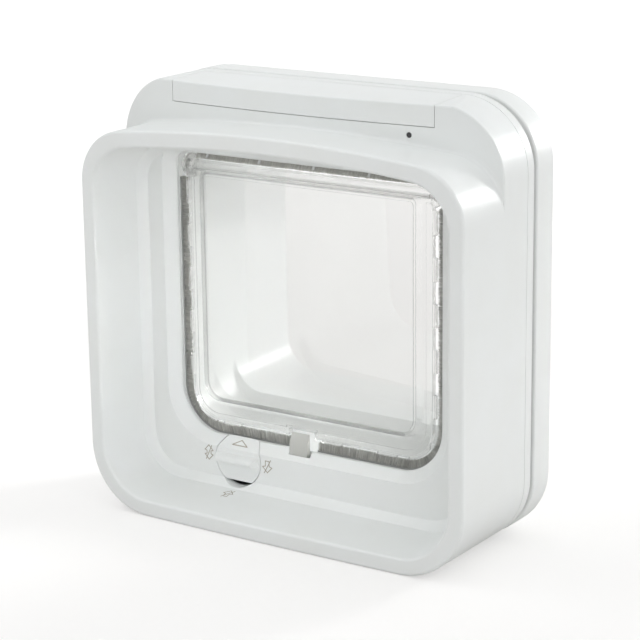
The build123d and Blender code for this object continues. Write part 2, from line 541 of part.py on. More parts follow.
board = bx(80.5, 101.5, -15.0, -13.4, 10, 62)
for x, z in ((83.5, 16), (98.0, 56)):
    board = board - ycyl(x, z, 1.3, -20, -10)
save(board, "control_board")
parts = [
    bx(86, 96, -16.4, -15.0, 28, 38), bx(84, 90, -17.2, -15.0, 44, 50), bx(93, 99, -18.0, -15.0, 20, 25),
    bx(84, 87, -16.2, -15.0, 22, 26), one(ycyl(96, 45, 3.0, -22.0, -15.0)), bx(84.5, 93, -19.5, -15.0, 53.5, 59.5),
]
save(Compound(children=[one(p) for p in parts]), "board_components")
bscrews = []
for x, z in ((83.5, 16), (98.0, 56)):
    bscrews.append(one(ycyl(x, z, 0.9, -15.1, -7.5) + ycyl(x, z, 2.0, -16.4, -15.05)))
save(Compound(children=bscrews), "board_screws")

y_led = FACE_Y + (FACE_R - math.sqrt(FACE_R**2 - 59.7**2))
led = ycyl(59.7, 89.6, 1.25, y_led + 0.1, -27.5) + ycyl(59.7, 89.6, 2.0, y_led + WALL + 0.35, -27.5)
save(led, "status_lamp")

switch = bx(62.6, 68.6, -19.8, -13.8, 91.65, 95.2)
save(switch, "learn_switch")
button = zcyl(65.6, -16.8, 1.6, 96.3, 98.0) + zcyl(65.6, -16.8, 2.6, 98.0, 100.2)
save(button, "learn_button")

coil = slab(outline(TUN_W + 6.6, TUN_BOT - 6.6, TUN_TOP + 5.2, 24.6, 10.4), -5.9, -2.8) - slab(
    outline(TUN_W + 2.8, TUN_BOT - 2.8, TUN_TOP + 1.9, 21.3, 7.9), -10, 5
)
save(coil, "antenna_coil")

# ------------------------------------------------------------------ fasteners
hs = []
for x, z in SCREW_XZ:
    s = ycyl(x, z, 1.25, -18.5, -2.8) + ycyl(x, z, 2.8, -2.85, -0.9)
    s = s - bx(x - 1.7, x + 1.7, -1.7, 0, z - 0.35, z + 0.35) - bx(x - 0.35, x + 0.35, -1.7, 0, z - 1.7, z + 1.7)
    hs.append(one(s))
save(Compound(children=hs), "housing_screws")
ins = []
fx = []
caps = []
for x, z in FIX_XZ:
    ins.append(one(ycyl(x, z, 2.86, -8.9, -0.9) - ycyl(x, z, 2.04, -20, 10)))
    f = ycyl(x, z, 1.98, -6.0, 15.1) + ycyl(x, z, 3.9, 15.05, 17.3)
    f = f - bx(x - 2.4, x + 2.4, 16.2, 20, z - 0.45, z + 0.45) - bx(x - 0.45, x + 0.45, 16.2, 20, z - 2.4, z + 2.4)
    fx.append(one(f))
    caps.append(one(ycyl(x, z, 4.54, 17.6, 19.7)))
save(Compound(children=ins), "threaded_inserts")
save(Compound(children=fx), "fixing_screws")
save(Compound(children=caps), "screw_caps")
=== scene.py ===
import bpy
import math
import random
from mathutils import Matrix, Vector
from mathutils.bvhtree import BVHTree


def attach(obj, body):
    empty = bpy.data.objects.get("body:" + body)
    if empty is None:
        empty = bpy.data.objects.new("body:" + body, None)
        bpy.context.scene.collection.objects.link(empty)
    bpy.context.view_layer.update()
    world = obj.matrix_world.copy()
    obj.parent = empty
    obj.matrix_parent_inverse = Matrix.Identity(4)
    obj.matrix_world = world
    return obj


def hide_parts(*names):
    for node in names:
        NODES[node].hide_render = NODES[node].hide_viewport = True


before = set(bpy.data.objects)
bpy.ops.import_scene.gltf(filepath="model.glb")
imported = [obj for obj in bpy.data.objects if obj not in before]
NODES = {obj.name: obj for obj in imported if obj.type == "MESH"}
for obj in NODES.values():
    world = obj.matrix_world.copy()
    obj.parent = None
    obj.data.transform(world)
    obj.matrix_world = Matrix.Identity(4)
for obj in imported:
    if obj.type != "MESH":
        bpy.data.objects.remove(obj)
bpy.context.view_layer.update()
scene = bpy.context.scene
MM = 0.001

# ---------------------------------------------------------------- materials
def new_material(name):
    m = bpy.data.materials.new(name)
    m.use_nodes = True
    nt = m.node_tree
    nt.nodes.clear()
    out = nt.nodes.new("ShaderNodeOutputMaterial")
    bsdf = nt.nodes.new("ShaderNodeBsdfPrincipled")
    nt.links.new(bsdf.outputs[0], out.inputs[0])
    tc = nt.nodes.new("ShaderNodeTexCoord")
    return m, nt, bsdf, tc.outputs["Object"]


def noise(nt, coord, scale, detail=3.0, rough=0.5, stretch=None):
    if stretch:
        mp = nt.nodes.new("ShaderNodeMapping")
        mp.inputs["Scale"].default_value = stretch
        nt.links.new(coord, mp.inputs["Vector"])
        coord = mp.outputs[0]
    n = nt.nodes.new("ShaderNodeTexNoise")
    n.inputs["Scale"].default_value = scale
    n.inputs["Detail"].default_value = detail
    n.inputs["Roughness"].default_value = rough
    nt.links.new(coord, n.inputs["Vector"])
    return n.outputs["Fac"]


def ramp(nt, fac, stops):
    r = nt.nodes.new("ShaderNodeValToRGB")
    el = r.color_ramp.elements
    while len(el) < len(stops):
        el.new(0.5)
    for e, (p, c) in zip(el, stops):
        e.position = p
        e.color = (c[0], c[1], c[2], 1.0)
    nt.links.new(fac, r.inputs["Fac"])
    return r.outputs["Color"]


def span(nt, fac, lo, hi, a=0.3, b=0.7):
    m = nt.nodes.new("ShaderNodeMapRange")
    m.inputs["From Min"].default_value = a
    m.inputs["From Max"].default_value = b
    m.inputs["To Min"].default_value = lo
    m.inputs["To Max"].default_value = hi
    nt.links.new(fac, m.inputs["Value"])
    return m.outputs[0]


def bump(nt, bsdf, height, strength, dist):
    b = nt.nodes.new("ShaderNodeBump")
    b.inputs["Strength"].default_value = strength
    b.inputs["Distance"].default_value = dist
    nt.links.new(height, b.inputs["Height"])
    nt.links.new(b.outputs[0], bsdf.inputs["Normal"])
    return b


def moulded(name, c, spread, rough, rspread=0.05, grain=2600.0, depth=0.10, coat=0.0, tint=None):
    # injection-moulded plastic: slow cloudiness, fine spark-eroded grain, patchy gloss
    m, nt, b, co = new_material(name)
    slow = noise(nt, co, 38.0, 4.0, 0.55)
    d = tint or (1.0, 0.995, 0.985)
    lo = tuple(max(0.0, c[i] * (1 - spread) * d[i]) for i in range(3))
    hi = tuple(min(1.0, c[i] * (1 + spread * 0.6)) for i in range(3))
    nt.links.new(ramp(nt, slow, [(0.30, lo), (0.70, hi)]), b.inputs["Base Color"])
    fine = noise(nt, co, grain, 2.0, 0.6)
    patch = noise(nt, co, 120.0, 3.0, 0.6)
    nt.links.new(span(nt, patch, rough - rspread, rough + rspread), b.inputs["Roughness"])
    bump(nt, b, fine, depth, 0.00006)
    b.inputs["IOR"].default_value = 1.5
    if coat:
        b.inputs["Coat Weight"].default_value = coat
        b.inputs["Coat Roughness"].default_value = 0.12
    return m


def clear_plastic(name, c, rough=0.03, ior=1.5, straight=0.5, pass_c=(0.93, 0.935, 0.935)):
    # clear moulded pane: faint flow marks in the gloss, the lightest cool tint
    m, nt, b, co = new_material(name)
    flow = noise(nt, co, 26.0, 3.0, 0.5, stretch=(1.0, 1.0, 0.35))
    lo = tuple(v * 0.985 for v in c)
    nt.links.new(ramp(nt, flow, [(0.35, lo), (0.65, c)]), b.inputs["Base Color"])
    fine = noise(nt, co, 900.0, 2.0, 0.5)
    nt.links.new(span(nt, fine, rough * 0.6, rough * 1.4), b.inputs["Roughness"])
    b.inputs["Transmission Weight"].default_value = 1.0
    b.inputs["IOR"].default_value = ior
    # part of what lies behind is seen undistorted; lamps and bounced light pass straight through
    see = nt.nodes.new("ShaderNodeBsdfTransparent")
    see.inputs["Color"].default_value = (pass_c[0], pass_c[1], pass_c[2], 1)
    part = nt.nodes.new("ShaderNodeMixShader")
    part.inputs[0].default_value = straight
    nt.links.new(b.outputs[0], part.inputs[1])
    nt.links.new(see.outputs[0], part.inputs[2])
    path = nt.nodes.new("ShaderNodeLightPath")
    either = nt.nodes.new("ShaderNodeMath")
    either.operation = "MAXIMUM"
    nt.links.new(path.outputs["Is Shadow Ray"], either.inputs[0])
    nt.links.new(path.outputs["Is Diffuse Ray"], either.inputs[1])
    mix = nt.nodes.new("ShaderNodeMixShader")
    nt.links.new(either.outputs[0], mix.inputs[0])
    nt.links.new(part.outputs[0], mix.inputs[1])
    nt.links.new(see.outputs[0], mix.inputs[2])
    out = next(n for n in nt.nodes if n.type == "OUTPUT_MATERIAL")
    nt.links.new(mix.outputs[0], out.inputs[0])
    return m


def metal(name, c, rough, stretch=(1.0, 1.0, 0.05), grain=1600.0, depth=0.05, dark=0.82):
    m, nt, b, co = new_material(name)
    brushed = noise(nt, co, grain, 3.0, 0.6, stretch=stretch)
    stain = noise(nt, co, 160.0, 3.0, 0.6)
    lo = tuple(v * dark for v in c)
    nt.links.new(ramp(nt, stain, [(0.32, lo), (0.62, c)]), b.inputs["Base Color"])
    nt.links.new(span(nt, brushed, rough - 0.07, rough + 0.10), b.inputs["Roughness"])
    b.inputs["Metallic"].default_value = 1.0
    bump(nt, b, brushed, depth, 0.00005)
    return m


MAT = {}
MAT["housing_white"] = moulded("housing_white", (0.866, 0.886, 0.880), 0.010, 0.325, 0.022)
MAT["cover_white"] = moulded("cover_white", (0.868, 0.888, 0.882), 0.010, 0.33, 0.022, grain=2900.0)
MAT["plate_white"] = moulded("plate_white", (0.860, 0.878, 0.870), 0.012, 0.34, 0.03)
MAT["frame_white"] = moulded("frame_white", (0.866, 0.884, 0.876), 0.012, 0.33, 0.025)
MAT["tunnel_white"] = moulded("tunnel_white", (0.878, 0.897, 0.893), 0.008, 0.34, 0.025, grain=2200.0, depth=0.06)
MAT["dial_white"] = moulded("dial_white", (0.872, 0.892, 0.886), 0.010, 0.33, 0.022, grain=3200.0)
MAT["clear_flap"] = clear_plastic("clear_flap", (0.895, 0.895, 0.888), 0.03, 1.45, 0.36, (0.946, 0.944, 0.938))
MAT["clear_rail"] = moulded("clear_rail", (0.90, 0.91, 0.91), 0.02, 0.34, 0.02)
MAT["clear_rail"].node_tree.nodes["Principled BSDF"].inputs["Transmission Weight"].default_value = 0.12
MAT["latch_grey"] = moulded("latch_grey", (0.575, 0.580, 0.552), 0.03, 0.36, 0.05, grain=2400.0, depth=0.14)
MAT["gear_white"] = moulded("gear_white", (0.74, 0.73, 0.69), 0.03, 0.30, 0.05)
MAT["inner_grey"] = moulded("inner_grey", (0.56, 0.56, 0.54), 0.03, 0.45, 0.06, depth=0.2)
MAT["button_grey"] = moulded("button_grey", (0.22, 0.22, 0.23), 0.05, 0.40, 0.06, depth=0.2)
MAT["chip_black"] = moulded("chip_black", (0.022, 0.022, 0.024), 0.25, 0.48, 0.08, grain=4000.0, depth=0.3)
MAT["lamp_dark"] = moulded("lamp_dark", (0.030, 0.028, 0.030), 0.20, 0.14, 0.04, grain=5000.0, depth=0.03, coat=0.5)
MAT["motor_steel"] = metal("motor_steel", (0.62, 0.62, 0.61), 0.34, stretch=(0.05, 1.0, 1.0))
MAT["spring_steel"] = metal("spring_steel", (0.70, 0.69, 0.66), 0.26)
MAT["screw_steel"] = metal("screw_steel", (0.63, 0.63, 0.62), 0.30, stretch=(1.0, 0.1, 1.0))
MAT["insert_brass"] = metal("insert_brass", (0.76, 0.56, 0.25), 0.30, stretch=(1.0, 0.1, 1.0))


def winding(name):
    # enamelled copper turns lying side by side round the tunnel
    m, nt, b, co = new_material(name)
    w = nt.nodes.new("ShaderNodeTexWave")
    w.bands_direction = "Y"
    w.inputs["Scale"].default_value = 560.0
    w.inputs["Distortion"].default_value = 0.4
    w.inputs["Detail"].default_value = 2.0
    nt.links.new(co, w.inputs["Vector"])
    # the dark troughs of the bands, in the grooves between the turns, are painted shade
    nt.links.new(ramp(nt, w.outputs["Fac"], [(0.05, (0.10, 0.035, 0.012)), (0.55, (0.55, 0.22, 0.08)), (0.95, (0.72, 0.34, 0.15))]), b.inputs["Base Color"])
    nt.links.new(span(nt, noise(nt, co, 300.0), 0.22, 0.40), b.inputs["Roughness"])
    b.inputs["Metallic"].default_value = 0.85
    bump(nt, b, w.outputs["Fac"], 0.7, 0.0001)
    return m


MAT["coil_copper"] = winding("coil_copper")


def circuit(name):
    # green solder mask with tracks and pads showing through
    m, nt, b, co = new_material(name)
    br = nt.nodes.new("ShaderNodeTexBrick")
    br.inputs["Scale"].default_value = 240.0
    br.inputs["Mortar Size"].default_value = 0.06
    br.inputs["Color1"].default_value = (0.012, 0.105, 0.042, 1)
    br.inputs["Color2"].default_value = (0.014, 0.125, 0.050, 1)
    br.inputs["Mortar"].default_value = (0.040, 0.230, 0.085, 1)
    mp = nt.nodes.new("ShaderNodeMapping")
    mp.inputs["Rotation"].default_value = (math.radians(90), 0, 0)
    nt.links.new(co, mp.inputs["Vector"])
    nt.links.new(mp.outputs[0], br.inputs["Vector"])
    nt.links.new(br.outputs["Color"], b.inputs["Base Color"])
    nt.links.new(span(nt, noise(nt, co, 500.0), 0.24, 0.38), b.inputs["Roughness"])
    bump(nt, b, br.outputs["Fac"], 0.4, 0.00005)
    return m


MAT["board_green"] = circuit("board_green")


def cell_sleeve(name):
    # printed sleeve: a dark body with a paler band towards one end, fine print grain
    m, nt, b, co = new_material(name)
    sep = nt.nodes.new("ShaderNodeSeparateXYZ")
    nt.links.new(co, sep.inputs[0])
    ab = nt.nodes.new("ShaderNodeMath")
    ab.operation = "ABSOLUTE"
    nt.links.new(sep.outputs["X"], ab.inputs[0])
    pos = span(nt, ab.outputs[0], 0.0, 1.0, 0.0055, 0.0565)
    nt.links.new(ramp(nt, pos, [(0.0, (0.46, 0.46, 0.45)), (0.022, (0.46, 0.46, 0.45)), (0.03, (0.055, 0.060, 0.066)),
                                (0.70, (0.060, 0.066, 0.072)), (0.71, (0.42, 0.30, 0.16)), (0.965, (0.44, 0.32, 0.18)), (0.975, (0.46, 0.46, 0.45))]), b.inputs["Base Color"])
    nt.links.new(span(nt, noise(nt, co, 700.0), 0.22, 0.34), b.inputs["Roughness"])
    b.inputs["Metallic"].default_value = 0.35
    bump(nt, b, noise(nt, co, 1500.0), 0.05, 0.00005)
    return m


MAT["cell_jacket"] = cell_sleeve("cell_jacket")


def bristle_material(name, lo=(0.30, 0.30, 0.28), mid=(0.52, 0.52, 0.49), hi=(0.74, 0.74, 0.70)):
    # nylon pile: every bristle its own tone, mixed with a finer tuft-to-tuft variation
    m, nt, b, co = new_material(name)
    geo = nt.nodes.new("ShaderNodeNewGeometry")
    tuft = noise(nt, co, 420.0, 2.0, 0.5)
    mixv = nt.nodes.new("ShaderNodeMath")
    mixv.operation = "MULTIPLY_ADD"
    mixv.inputs[1].default_value = 0.55
    nt.links.new(geo.outputs["Random Per Island"], mixv.inputs[0])
    half = nt.nodes.new("ShaderNodeMath")
    half.operation = "MULTIPLY"
    half.inputs[1].default_value = 0.45
    nt.links.new(tuft, half.inputs[0])
    nt.links.new(half.outputs[0], mixv.inputs[2])
    nt.links.new(ramp(nt, mixv.outputs[0], [(0.15, lo), (0.5, mid), (0.85, hi)]), b.inputs["Base Color"])
    nt.links.new(span(nt, noise(nt, co, 900.0), 0.35, 0.55), b.inputs["Roughness"])
    return m


MAT["brush_grey"] = bristle_material("brush_grey")
# the bristles above the hinge bar get a lighter copy of the bristle colours: painted light, making up for the shade
# the hood casts on them
MAT["brush_top_painted_light"] = bristle_material("brush_top_painted_light", (0.56, 0.56, 0.52), (0.74, 0.74, 0.70), (0.88, 0.88, 0.84))
MAT["brush_back"] = metal("brush_back", (0.50, 0.50, 0.49), 0.42)


def ink(name):
    # pad-printed ink, slightly uneven at its edges
    m, nt, b, co = new_material(name)
    nt.links.new(ramp(nt, noise(nt, co, 1800.0, 3.0, 0.6), [(0.3, (0.385, 0.350, 0.285)), (0.7, (0.440, 0.405, 0.335))]), b.inputs["Base Color"])
    nt.links.new(span(nt, noise(nt, co, 900.0), 0.36, 0.5), b.inputs["Roughness"])
    return m


MAT["ink"] = ink("ink")

NODE_MAT = {
    "front_housing": "housing_white", "battery_cover": "cover_white", "back_plate": "plate_white",
    "outer_frame": "frame_white", "screw_caps": "frame_white", "tunnel": "tunnel_white",
    "lock_dial": "dial_white", "flap_panel": "clear_flap", "top_brush_rail": "clear_rail",
    "draught_brush": "brush_grey", "top_brush": "brush_top_painted_light", "entry_latch": "latch_grey", "exit_latch": "latch_grey",
    "entry_pinion": "gear_white", "exit_pinion": "gear_white", "dial_cam": "gear_white",
    "entry_motor": "motor_steel", "exit_motor": "motor_steel", "dial_carrier": "plate_white", "battery_tray": "inner_grey",
    "detent_spring": "spring_steel", "battery_plates": "spring_steel", "battery_springs": "spring_steel",
    "aa_cells": "cell_jacket", "control_board": "board_green", "board_components": "chip_black", "learn_switch": "chip_black",
    "board_screws": "screw_steel", "housing_screws": "screw_steel", "fixing_screws": "screw_steel",
    "status_lamp": "lamp_dark", "learn_button": "button_grey", "antenna_coil": "coil_copper", "threaded_inserts": "insert_brass",
}
for n, o in NODES.items():
    o.data.materials.clear()
    o.data.materials.append(MAT[NODE_MAT[n]])


# ------------------------------------------------------------------- pieces
def piece(name, verts, faces, mats, body, mat_index=None, smooth=False):
    me = bpy.data.meshes.new(name)
    me.from_pydata([tuple(v) for v in verts], [], faces)
    me.validate()
    for k in mats:
        me.materials.append(MAT[k])
    if mat_index:
        for p, i in zip(me.polygons, mat_index):
            p.material_index = i
    if smooth:
        for p in me.polygons:
            p.use_smooth = True
    me.update()
    o = bpy.data.objects.new(name, me)
    scene.collection.objects.link(o)
    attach(o, body)
    return o


def bristle(verts, faces, root, mid, tip, r0, r1, spin):
    # a tapered three-sided hair, bent once at its middle, closed at both ends
    i = len(verts)
    d = (tip - root).normalized()
    a = d.orthogonal().normalized()
    b = d.cross(a)
    for p, r in ((root, r0), (mid, (r0 * 2 + r1) / 3), (tip, r1)):
        for k in range(3):
            t = spin + 2 * math.pi * k / 3
            verts.append(p + (a * math.cos(t) + b * math.sin(t)) * r)
    faces.append((i + 2, i + 1, i))
    for s in (0, 3):
        for k in range(3):
            j = (k + 1) % 3
            faces.append((i + s + k, i + s + j, i + s + 3 + j, i + s + 3 + k))
    faces.append((i + 6, i + 7, i + 8))


# draught brush: bristles set in a strip against the tunnel wall, reaching inward
# to the flap's edge; two runs that stop either side of the latch
B_W, B_BOT, B_R, B_TOP = 73.9, -69.4, 22.4, 56.0       # root line
T_W, T_BOT, T_R = 70.15, -64.6, 17.2                   # tip line
GAP0, GAP1 = -11.9, 3.9
SIDE = B_TOP - (B_BOT + B_R)
ARC = math.pi / 2 * B_R
FLOOR = 2 * (B_W - B_R)
TOTAL = 2 * SIDE + 2 * ARC + FLOOR


def brush_line(s):
    # root and tip (X, Z) at distance s along the root line, left top round to right top
    if s < SIDE:
        t = s / SIDE
        return (-B_W, B_TOP + t * (B_BOT + B_R - B_TOP)), (-T_W, B_TOP + t * (T_BOT + T_R - B_TOP))
    s -= SIDE
    if s < ARC:
        a = math.pi + s / B_R
        return ((-B_W + B_R + B_R * math.cos(a), B_BOT + B_R + B_R * math.sin(a)),
                (-T_W + T_R + T_R * math.cos(a), T_BOT + T_R + T_R * math.sin(a)))
    s -= ARC
    if s < FLOOR:
        t = s / FLOOR * 2 - 1
        return (t * (B_W - B_R), B_BOT), (t * (T_W - T_R), T_BOT)
    s -= FLOOR
    if s < ARC:
        a = 1.5 * math.pi + s / B_R
        return ((B_W - B_R + B_R * math.cos(a), B_BOT + B_R + B_R * math.sin(a)),
                (T_W - T_R + T_R * math.cos(a), T_BOT + T_R + T_R * math.sin(a)))
    s -= ARC
    t = min(1.0, s / SIDE)
    return (B_W, B_BOT + B_R + t * (B_TOP - B_BOT - B_R)), (T_W, T_BOT + T_R + t * (B_TOP - T_BOT - T_R))


rng = random.Random(41)
verts, faces = [], []
COUNT = 10200
for i in range(COUNT):
    s = (i + rng.random()) / COUNT * TOTAL
    (rx, rz), (tx, tz) = brush_line(s)
    on_floor = rz < B_BOT + 0.01
    if on_floor and (GAP0 - 0.15 < rx < GAP1 + 0.15 or GAP0 - 0.1 < tx < GAP1 + 0.1):
        continue
    y = rng.uniform(-25.28, -22.62)
    reach = rng.uniform(0.93, 1.0) if rng.random() < 0.9 else rng.uniform(0.80, 0.95)
    dx, dz = (tx - rx) * reach, (tz - rz) * reach
    lean = rng.gauss(0.0, 0.07)
    yl = min(0.1, max(-0.1, rng.gauss(0.0, 0.06)))
    yt = min(-22.56, max(-25.34, y + yl))
    # sideways lean along the run, kept clear of the gap
    ln = math.hypot(dx, dz)
    sx, sz = dz / ln, -dx / ln
    root = Vector((rx, y, rz))
    tip = Vector((rx + dx + sx * lean, yt, rz + dz + sz * lean))
    mid = root.lerp(tip, 0.5) + Vector((sx * lean * -0.35, yl * 0.2, sz * lean * -0.35))
    bristle(verts, faces, root * MM, mid * MM, tip * MM, 0.085 * MM, 0.055 * MM, rng.uniform(0, 2.1))
hair_faces = len(faces)


def strip(s0, s1, steps):
    # the strip that holds the roots: a thin band along the root line
    i0 = len(verts)
    for k in range(steps + 1):
        (rx, rz), (tx, tz) = brush_line(s0 + (s1 - s0) * k / steps)
        ln = math.hypot(tx - rx, tz - rz)
        ux, uz = (tx - rx) / ln, (tz - rz) / ln
        for d, y in ((0.0, -25.4), (0.75, -25.4), (0.75, -22.5), (0.0, -22.5)):
            verts.append(Vector((rx + ux * d, y, rz + uz * d)) * MM)
    for k in range(steps):
        a = i0 + 4 * k
        for e in range(4):
            f = (e + 1) % 4
            faces.append((a + e, a + f, a + 4 + f, a + 4 + e))
    faces.append((i0 + 3, i0 + 2, i0 + 1, i0))
    a = i0 + 4 * steps
    faces.append((a, a + 1, a + 2, a + 3))


mid_s = SIDE + ARC
strip(0.0, mid_s + (GAP0 + B_W - B_R), 90)
strip(mid_s + (GAP1 + B_W - B_R), TOTAL, 90)
idx = [0] * hair_faces + [1] * (len(faces) - hair_faces)
draught = piece("draught_bristles", verts, faces, ["brush_grey", "brush_back"], "inner_unit", idx)
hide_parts("draught_brush")

# brush above the hinge bar: short bristles slanting down and forward from the clear rail
verts, faces = [], []
for i in range(4600):
    x = -65.85 + 131.7 * (i + rng.random()) / 4600
    y = rng.uniform(-21.92, -18.76)
    reach = (rng.uniform(0.92, 1.0) if rng.random() < 0.88 else rng.uniform(0.78, 0.95))
    xl = min(65.9, max(-65.9, x + rng.gauss(0.0, 0.10)))
    yl = min(-18.72, max(-21.96, y + rng.gauss(0.0, 0.05))) - 1.85 * reach
    root = Vector((x, y, 68.48))
    tip = Vector((xl, yl, 68.5 - 3.06 * reach))
    mid = root.lerp(tip, 0.55) + Vector(((x - xl) * 0.3, 0, 0))
    bristle(verts, faces, root * MM, mid * MM, tip * MM, 0.085 * MM, 0.06 * MM, rng.uniform(0, 2.1))
# these bristles carry the lightened copy of the pile colours, painted light against the hood's shade
top = piece("top_bristles", verts, faces, ["brush_top_painted_light"], "inner_unit")
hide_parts("top_brush")

# ------------------------------------------------------- printed arrow signs
def tree(node):
    o = NODES[node]
    return BVHTree.FromPolygons([v.co[:] for v in o.data.vertices], [p.vertices[:] for p in o.data.polygons])


DIAL_X = -37.8
WALL_Y, BAND_Z = -32.5, -88.5        # wall behind the hood and where its slanted band begins
BAND_END = (-36.15, -92.78)          # where the band meets the floor
BAND_LEN = math.hypot(BAND_END[0] - WALL_Y, BAND_END[1] - BAND_Z)


def on_wall(x, z):
    # distance down the wall, over the slanted band and on along the floor
    s = BAND_Z - z
    if s <= 0:
        return Vector((x, WALL_Y, z))
    if s < BAND_LEN:
        t = s / BAND_LEN
        return Vector((x, WALL_Y + (BAND_END[0] - WALL_Y) * t, BAND_Z + (BAND_END[1] - BAND_Z) * t))
    s -= BAND_LEN
    return Vector((x, BAND_END[0] - 0.9876 * s, BAND_END[1] - 0.157 * s))


def cast_y(bvh, x, z):
    p, n, i, d = bvh.ray_cast(Vector((x, -60.0, z)) * MM, Vector((0, 1, 0)))
    return p, n


def snapped(bvh, q):
    p, n, i, d = bvh.find_nearest(q * MM)
    return p, n


def ribbons(name, closed_lines, open_lines, width, place, body):
    # flat raised strokes lying on the surface that place() finds
    verts, faces = [], []
    for line, closed in [(l, True) for l in closed_lines] + [(l, False) for l in open_lines]:
        pts = []
        m = len(line)
        for k in range(m if closed else m - 1):
            a, c = line[k], line[(k + 1) % m]
            n = max(1, int(math.hypot(c[0] - a[0], c[1] - a[1]) / 0.3))
            for j in range(n):
                pts.append((a[0] + (c[0] - a[0]) * j / n, a[1] + (c[1] - a[1]) * j / n))
        if not closed:
            pts.append(line[-1])
        m = len(pts)
        i0 = len(verts)
        for k, p in enumerate(pts):
            q0 = pts[(k - 1) % m] if (closed or k > 0) else None
            q1 = pts[(k + 1) % m] if (closed or k < m - 1) else None
            u = Vector((p[0] - q0[0], p[1] - q0[1])).normalized() if q0 else None
            v = Vector((q1[0] - p[0], q1[1] - p[1])).normalized() if q1 else None
            u = u or v
            v = v or u
            t = (u + v).normalized() if (u + v).length > 1e-6 else v
            side = Vector((-t.y, t.x))
            grow = min(2.2, 1.0 / max(0.35, abs(side.dot(Vector((-v.y, v.x))))))
            for sgn, lift in ((1, -0.02), (1, 0.03), (-1, 0.03), (-1, -0.02)):
                e = Vector(p) + side * (sgn * width / 2 * grow)
                pos, nor = place(e.x, e.y)
                verts.append(pos + nor * (lift * MM))
        for k in range(m if closed else m - 1):
            a = i0 + 4 * k
            b = i0 + 4 * ((k + 1) % m)
            for e in range(4):
                f = (e + 1) % 4
                faces.append((a + e, b + e, b + f, a + f))
        if not closed:
            faces.append((i0, i0 + 1, i0 + 2, i0 + 3))
            a = i0 + 4 * (m - 1)
            faces.append((a + 3, a + 2, a + 1, a))
    return piece(name, verts, faces, ["ink"], body)


house = tree("front_housing")
dial = tree("lock_dial")


def wall_place(x, z):
    return snapped(house, on_wall(x, z))


cx, cz = -55.45, -77.95
both = [(cx, cz + 3.7), (cx - 2.4, cz + 1.15), (cx - 1.2, cz + 0.75), (cx - 1.2, cz - 0.75), (cx - 2.4, cz - 1.15),
        (cx, cz - 3.7), (cx + 2.4, cz - 1.15), (cx + 1.2, cz - 0.75), (cx + 1.2, cz + 0.75), (cx + 2.4, cz + 1.15)]
ribbons("sign_both", [both], [[(cx + 1.75, cz + 3.7), (cx - 1.75, cz - 3.7)]], 0.42, wall_place, "inner_unit")

cx, cz = -20.65, -79.2
down = [(cx - 1.1, cz + 2.7), (cx + 1.1, cz + 2.7), (cx + 1.1, cz + 0.15), (cx + 2.7, cz - 0.35), (cx, cz - 3.15),
        (cx - 2.7, cz - 0.35), (cx - 1.1, cz + 0.15)]
ribbons("sign_out", [down], [[(cx + 2.1, cz + 3.5), (cx - 1.85, cz - 3.5)]], 0.42, wall_place, "inner_unit")

cx, cz = -38.1, -99.4
up = [(cx - 1.1, cz - 2.7), (cx + 1.1, cz - 2.7), (cx + 1.1, cz - 0.15), (cx + 2.7, cz + 0.35), (cx, cz + 3.15),
      (cx - 2.7, cz + 0.35), (cx - 1.1, cz - 0.15)]
ribbons("sign_in", [up], [[(cx + 2.1, cz + 3.5), (cx - 1.85, cz - 3.5)]], 0.42, wall_place, "inner_unit")


def dial_place(x, z):
    p, n = cast_y(dial, x, z)
    return (p, n) if p else snapped(dial, Vector((x, -28.0, z)))


cx = DIAL_X - 0.2
ribbons("dial_pointer", [[(cx, -70.1), (cx - 4.4, -72.2), (cx + 4.4, -72.2)]], [], 0.36, dial_place, "lock_dial")

# -------------------------------------------------------------- floor, light
LIGHT = {"zenith": 0.80, "world": 0.70, "floor": 0.05, "top": 1.0, "edge": 2.4, "left": 0.08, "right": 0.6, "back": 1.4, "low": 0.45, "inner": 0.0145, "tunnel": 0.240, "sill": 0.005}
me = bpy.data.meshes.new("floor")
S = 6.0
me.from_pydata([(-S, -S, -0.1051), (S, -S, -0.1051), (S, S, -0.1051), (-S, S, -0.1051)], [], [(0, 1, 2, 3)])
floor = bpy.data.objects.new("floor", me)
scene.collection.objects.link(floor)
fm, fnt, fb, fco = new_material("studio_floor")
fnt.links.new(ramp(fnt, noise(fnt, fco, 3.0), [(0.3, (0.56, 0.55, 0.54)), (0.7, (0.58, 0.57, 0.56))]), fb.inputs["Base Color"])
fb.inputs["Roughness"].default_value = 0.9
fb.inputs["Specular IOR Level"].default_value = 0.0
fb.inputs["Emission Color"].default_value = (1, 1, 1, 1)
fb.inputs["Emission Strength"].default_value = LIGHT["floor"]
# the sweep is lifted to white where it is seen, more so away from the object
flen = fnt.nodes.new("ShaderNodeVectorMath")
flen.operation = "LENGTH"
fnt.links.new(fco, flen.inputs[0])
fup = span(fnt, flen.outputs["Value"], 0.40, 0.62, 0.22, 0.9)
fpath = fnt.nodes.new("ShaderNodeLightPath")
fmul = fnt.nodes.new("ShaderNodeMath")
fmul.operation = "MULTIPLY"
fnt.links.new(fup, fmul.inputs[0])
fsee = fnt.nodes.new("ShaderNodeMath")
fsee.operation = "MAXIMUM"
fnt.links.new(fpath.outputs["Is Camera Ray"], fsee.inputs[0])
fthru = fnt.nodes.new("ShaderNodeMath")
fthru.operation = "MULTIPLY"
fthru.inputs[1].default_value = 0.72
fnt.links.new(fpath.outputs["Is Transmission Ray"], fthru.inputs[0])
fnt.links.new(fthru.outputs[0], fsee.inputs[1])
fnt.links.new(fsee.outputs[0], fmul.inputs[1])
fglow = fnt.nodes.new("ShaderNodeEmission")
fnt.links.new(fmul.outputs[0], fglow.inputs["Strength"])
fadd = fnt.nodes.new("ShaderNodeAddShader")
fnt.links.new(fb.outputs[0], fadd.inputs[0])
fnt.links.new(fglow.outputs[0], fadd.inputs[1])
fnt.links.new(fadd.outputs[0], next(n for n in fnt.nodes if n.type == "OUTPUT_MATERIAL").inputs[0])
me.materials.append(fm)

